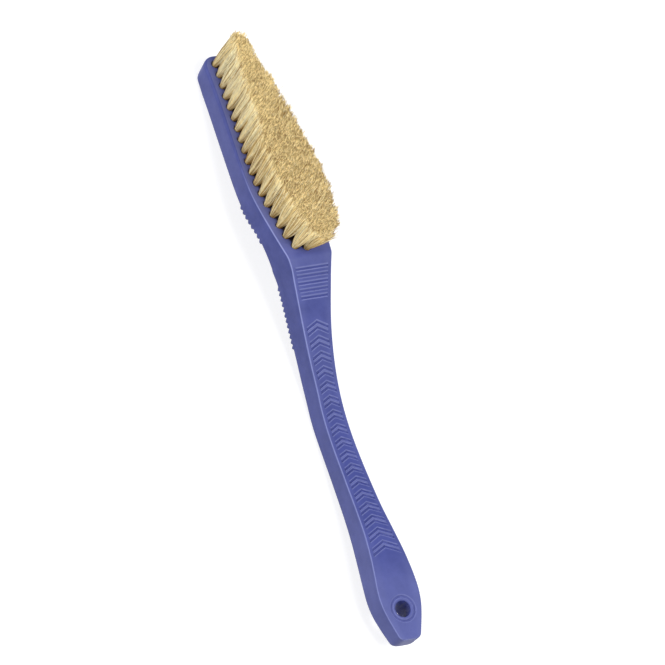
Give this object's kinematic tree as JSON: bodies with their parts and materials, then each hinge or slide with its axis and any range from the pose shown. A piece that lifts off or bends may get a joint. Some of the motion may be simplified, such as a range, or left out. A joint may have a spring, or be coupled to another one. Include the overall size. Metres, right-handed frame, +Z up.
{
  "type": "climbing hold brush",
  "caption": "Hand brush with a cranked moulded handle, a leaf-shaped head of mown natural bristle tufts, finger ribs on its back and a hanging hole at the butt.",
  "frame": {"origin": "Under the middle of the brush's bounding box, on the table that it lies on with its bristles up", "axes": "+X from the tip of the head to the butt of the handle, +Y across the brush, +Z up, the side the bristles point to"},
  "size_m": [0.2238, 0.0236, 0.0449],
  "materials": {
    "moulded_plastic": "satin",
    "boar_bristle": "matte"
  },
  "bodies": {
    "root": {"handle": "moulded_plastic", "tuft_inner_01": "boar_bristle", "tuft_inner_02": "boar_bristle", "tuft_inner_03": "boar_bristle", "tuft_inner_04": "boar_bristle", "tuft_inner_05": "boar_bristle", "tuft_inner_06": "boar_bristle", "tuft_inner_07": "boar_bristle", "tuft_inner_08": "boar_bristle", "tuft_inner_09": "boar_bristle", "tuft_inner_10": "boar_bristle", "tuft_inner_11": "boar_bristle", "tuft_inner_12": "boar_bristle", "tuft_inner_13": "boar_bristle", "tuft_inner_14": "boar_bristle", "tuft_inner_15": "boar_bristle", "tuft_inner_16": "boar_bristle", "tuft_inner_17": "boar_bristle", "tuft_inner_18": "boar_bristle", "tuft_inner_19": "boar_bristle", "tuft_inner_20": "boar_bristle", "tuft_inner_21": "boar_bristle", "tuft_inner_22": "boar_bristle", "tuft_left_01": "boar_bristle", "tuft_left_02": "boar_bristle", "tuft_left_03": "boar_bristle", "tuft_left_04": "boar_bristle", "tuft_left_05": "boar_bristle", "tuft_left_06": "boar_bristle", "tuft_left_07": "boar_bristle", "tuft_left_08": "boar_bristle", "tuft_left_09": "boar_bristle", "tuft_left_10": "boar_bristle", "tuft_left_11": "boar_bristle", "tuft_left_12": "boar_bristle", "tuft_left_13": "boar_bristle", "tuft_left_14": "boar_bristle", "tuft_left_15": "boar_bristle", "tuft_left_16": "boar_bristle", "tuft_left_17": "boar_bristle", "tuft_left_18": "boar_bristle", "tuft_right_01": "boar_bristle", "tuft_right_02": "boar_bristle", "tuft_right_03": "boar_bristle", "tuft_right_04": "boar_bristle", "tuft_right_05": "boar_bristle", "tuft_right_06": "boar_bristle", "tuft_right_07": "boar_bristle", "tuft_right_08": "boar_bristle", "tuft_right_09": "boar_bristle", "tuft_right_10": "boar_bristle", "tuft_right_11": "boar_bristle", "tuft_right_12": "boar_bristle", "tuft_right_13": "boar_bristle", "tuft_right_14": "boar_bristle", "tuft_right_15": "boar_bristle", "tuft_right_16": "boar_bristle", "tuft_right_17": "boar_bristle", "tuft_right_18": "boar_bristle"}
  },
  "joints": []
}
